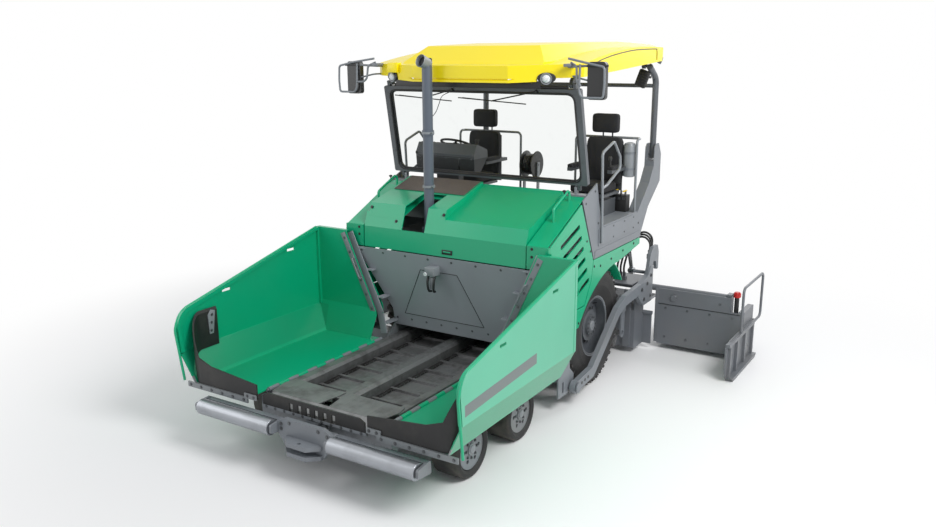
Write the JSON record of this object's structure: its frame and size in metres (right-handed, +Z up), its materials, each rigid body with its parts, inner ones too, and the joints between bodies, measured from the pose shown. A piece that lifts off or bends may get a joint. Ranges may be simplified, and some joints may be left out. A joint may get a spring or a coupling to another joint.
{
  "type": "asphalt paver",
  "caption": "Wheeled asphalt paver with folding hopper wings, roofed operator platform and an extending screed on tow arms.",
  "frame": {"origin": "middle of the footprint at ground level", "axes": "+Z up, -Y towards the hopper (travel direction), +X towards the machine's left"},
  "size_m": [5.18, 5.945, 3.8133],
  "materials": {
    "frame_grey_paint": "satin",
    "grey_paint": "satin",
    "green_paint": "glossy",
    "yellow_plastic": "glossy",
    "worn_steel": "worn",
    "screed_paint": "satin",
    "cast_metal": "matte",
    "dark_steel": "satin",
    "rubber_sheet": "matte",
    "tyre_rubber": "matte",
    "clear_glass": "clear",
    "black_plastic": "matte",
    "seat_cover": "matte",
    "cylinder_steel": "satin"
  },
  "bodies": {
    "tractor": {"chassis_frame": "frame_grey_paint", "chassis_sides": "frame_grey_paint", "conveyor": "worn_steel", "hopper_back_wall": "grey_paint", "front_apron": "worn_steel", "centre_flap": "rubber_sheet", "engine_block": "cast_metal", "body_panels": "green_paint", "exhaust_stack": "dark_steel", "platform": "grey_paint", "platform_sides": "frame_grey_paint", "seat_frames": "grey_paint", "seat_cushions": "seat_cover", "console": "grey_paint", "guard_rails": "grey_paint", "bogie_beams": "frame_grey_paint", "auger_frame": "grey_paint"},
    "hood": {"engine_hood": "green_paint"},
    "windscreen": {"windscreen_frame": "grey_paint", "windscreen_glass": "clear_glass"},
    "roof": {"roof_shell": "yellow_plastic", "roof_frame": "grey_paint", "mirrors": "black_plastic"},
    "rear_posts": {"rear_posts": "grey_paint"},
    "steering_wheel": {"steering_wheel": "black_plastic"},
    "push_beam": {"push_beam": "frame_grey_paint"},
    "screed": {"tow_arms": "frame_grey_paint", "main_screed": "screed_paint"},
    "lift_barrels": {"lift_barrels": "cylinder_steel"},
    "lift_rods": {"lift_rods": "cylinder_steel"},
    "rear_wheel_left": {"rear_tyre_left": "tyre_rubber", "rear_rim_left": "frame_grey_paint"},
    "front_knuckle_left": {"front_knuckle_left": "frame_grey_paint"},
    "front_wheel_left": {"front_tyre_left": "tyre_rubber", "front_disc_left": "frame_grey_paint"},
    "middle_knuckle_left": {"middle_knuckle_left": "frame_grey_paint"},
    "middle_wheel_left": {"middle_tyre_left": "tyre_rubber", "middle_disc_left": "frame_grey_paint"},
    "wing_left": {"hopper_wing_left": "green_paint", "wing_flap_left": "rubber_sheet"},
    "door_left": {"side_door_left": "green_paint"},
    "push_roller_left": {"push_roller_left": "worn_steel"},
    "auger_left": {"auger_left": "worn_steel"},
    "extension_left": {"screed_extension_left": "screed_paint", "end_plate_left": "screed_paint"},
    "rear_wheel_right": {"rear_tyre_right": "tyre_rubber", "rear_rim_right": "frame_grey_paint"},
    "front_knuckle_right": {"front_knuckle_right": "frame_grey_paint"},
    "front_wheel_right": {"front_tyre_right": "tyre_rubber", "front_disc_right": "frame_grey_paint"},
    "middle_knuckle_right": {"middle_knuckle_right": "frame_grey_paint"},
    "middle_wheel_right": {"middle_tyre_right": "tyre_rubber", "middle_disc_right": "frame_grey_paint"},
    "wing_right": {"hopper_wing_right": "green_paint", "wing_flap_right": "rubber_sheet"},
    "door_right": {"side_door_right": "green_paint"},
    "push_roller_right": {"push_roller_right": "worn_steel"},
    "auger_right": {"auger_right": "worn_steel"},
    "extension_right": {"screed_extension_right": "screed_paint", "end_plate_right": "screed_paint"}
  },
  "joints": [
    {"name": "rear_wheel_left_spin", "type": "hinge", "parent": "tractor", "child": "rear_wheel_left", "pos_m": [1.057, 0.6225, 0.685], "axis": [1, 0, 0], "continuous": true},
    {"name": "front_knuckle_left_steer", "type": "hinge", "parent": "tractor", "child": "front_knuckle_left", "pos_m": [0.875, -2.0175, 0.27], "axis": [0, 0, 1], "range_deg": [-18, 18]},
    {"name": "front_wheel_left_spin", "type": "hinge", "parent": "front_knuckle_left", "child": "front_wheel_left", "pos_m": [1.095, -2.0175, 0.27], "axis": [1, 0, 0], "continuous": true},
    {"name": "middle_knuckle_left_steer", "type": "hinge", "parent": "tractor", "child": "middle_knuckle_left", "pos_m": [0.875, -1.1175, 0.27], "axis": [0, 0, 1], "range_deg": [-18, 18]},
    {"name": "middle_wheel_left_spin", "type": "hinge", "parent": "middle_knuckle_left", "child": "middle_wheel_left", "pos_m": [1.095, -1.1175, 0.27], "axis": [1, 0, 0], "continuous": true},
    {"name": "rear_wheel_right_spin", "type": "hinge", "parent": "tractor", "child": "rear_wheel_right", "pos_m": [-1.057, 0.6225, 0.685], "axis": [1, 0, 0], "continuous": true},
    {"name": "front_knuckle_right_steer", "type": "hinge", "parent": "tractor", "child": "front_knuckle_right", "pos_m": [-0.875, -2.0175, 0.27], "axis": [0, 0, 1], "range_deg": [-18, 18]},
    {"name": "front_wheel_right_spin", "type": "hinge", "parent": "front_knuckle_right", "child": "front_wheel_right", "pos_m": [-1.095, -2.0175, 0.27], "axis": [1, 0, 0], "continuous": true},
    {"name": "middle_knuckle_right_steer", "type": "hinge", "parent": "tractor", "child": "middle_knuckle_right", "pos_m": [-0.875, -1.1175, 0.27], "axis": [0, 0, 1], "range_deg": [-18, 18]},
    {"name": "middle_wheel_right_spin", "type": "hinge", "parent": "middle_knuckle_right", "child": "middle_wheel_right", "pos_m": [-1.095, -1.1175, 0.27], "axis": [1, 0, 0], "continuous": true},
    {"name": "push_beam_swing", "type": "hinge", "parent": "tractor", "child": "push_beam", "pos_m": [0, -2.6975, 0.442], "axis": [0, 0, 1], "range_deg": [-4, 4]},
    {"name": "push_roller_left_spin", "type": "hinge", "parent": "push_beam", "child": "push_roller_left", "pos_m": [0.805, -2.8975, 0.445], "axis": [1, 0, 0], "continuous": true},
    {"name": "wing_left_fold", "type": "hinge", "parent": "tractor", "child": "wing_left", "pos_m": [0.735, -1.6575, 0.6], "axis": [0, -1, 0], "range_deg": [0, 50]},
    {"name": "door_left_swing", "type": "hinge", "parent": "tractor", "child": "door_left", "pos_m": [1.288, -0.6495, 1.44], "axis": [0, 0, -1], "range_deg": [0, 90]},
    {"name": "push_roller_right_spin", "type": "hinge", "parent": "push_beam", "child": "push_roller_right", "pos_m": [-0.805, -2.8975, 0.445], "axis": [1, 0, 0], "continuous": true},
    {"name": "wing_right_fold", "type": "hinge", "parent": "tractor", "child": "wing_right", "pos_m": [-0.735, -1.6575, 0.6], "axis": [0, 1, 0], "range_deg": [0, 50]},
    {"name": "door_right_swing", "type": "hinge", "parent": "tractor", "child": "door_right", "pos_m": [-1.288, -0.6495, 1.44], "axis": [0, 0, 1], "range_deg": [0, 90]},
    {"name": "hood_open", "type": "hinge", "parent": "tractor", "child": "hood", "pos_m": [0, 0.1825, 2.246], "axis": [-1, 0, 0], "range_deg": [0, 50]},
    {"name": "windscreen_fold", "type": "hinge", "parent": "tractor", "child": "windscreen", "pos_m": [0, 0.2725, 2.3], "axis": [-1, 0, 0], "range_deg": [0, 60]},
    {"name": "roof_level", "type": "hinge", "parent": "windscreen", "child": "roof", "pos_m": [0, 0.0525, 3.375], "axis": [-1, 0, 0], "range_deg": [-60, 0]},
    {"name": "rear_posts_fold", "type": "hinge", "parent": "tractor", "child": "rear_posts", "pos_m": [0, 2.2625, 2.46], "axis": [-1, 0, 0], "range_deg": [0, 60]},
    {"name": "steering_wheel_turn", "type": "hinge", "parent": "tractor", "child": "steering_wheel", "pos_m": [-0.84, 0.93983, 2.61168], "axis": [0, 0.3489, 0.9371], "continuous": true},
    {"name": "screed_lift", "type": "hinge", "parent": "tractor", "child": "screed", "pos_m": [0, -0.0775, 0.21], "axis": [1, 0, 0], "range_deg": [0, 6.5]},
    {"name": "extension_left_slide", "type": "slide", "parent": "screed", "child": "extension_left", "axis": [1, 0, 0], "range_m": [-1.11, 0]},
    {"name": "auger_left_turn", "type": "hinge", "parent": "tractor", "child": "auger_left", "pos_m": [0.65, 1.5525, 0.33], "axis": [1, 0, 0], "continuous": true},
    {"name": "extension_right_slide", "type": "slide", "parent": "screed", "child": "extension_right", "axis": [-1, 0, 0], "range_m": [-1.11, 0]},
    {"name": "auger_right_turn", "type": "hinge", "parent": "tractor", "child": "auger_right", "pos_m": [-0.65, 1.5525, 0.33], "axis": [1, 0, 0], "continuous": true},
    {"name": "lift_barrels_swing", "type": "hinge", "parent": "tractor", "child": "lift_barrels", "pos_m": [0, 1.7725, 1.69], "axis": [-1, 0, 0], "range_deg": [0, 0.58]},
    {"name": "lift_rods_slide", "type": "slide", "parent": "lift_barrels", "child": "lift_rods", "axis": [0, -0.3875, 0.9219], "range_m": [0, 0.2606]}
  ],
  "couplings": [
    {"joint": "front_knuckle_right_steer", "follows": "front_knuckle_left_steer", "ratio": 1},
    {"joint": "middle_knuckle_left_steer", "follows": "front_knuckle_left_steer", "ratio": 1},
    {"joint": "middle_knuckle_right_steer", "follows": "front_knuckle_left_steer", "ratio": 1},
    {"joint": "roof_level", "follows": "windscreen_fold", "ratio": -1},
    {"joint": "rear_posts_fold", "follows": "windscreen_fold", "ratio": 1},
    {"joint": "lift_barrels_swing", "follows": "screed_lift", "ratio": 0.05813},
    {"joint": "lift_rods_slide", "follows": "screed_lift", "m_per_rad": 2.2797}
  ]
}
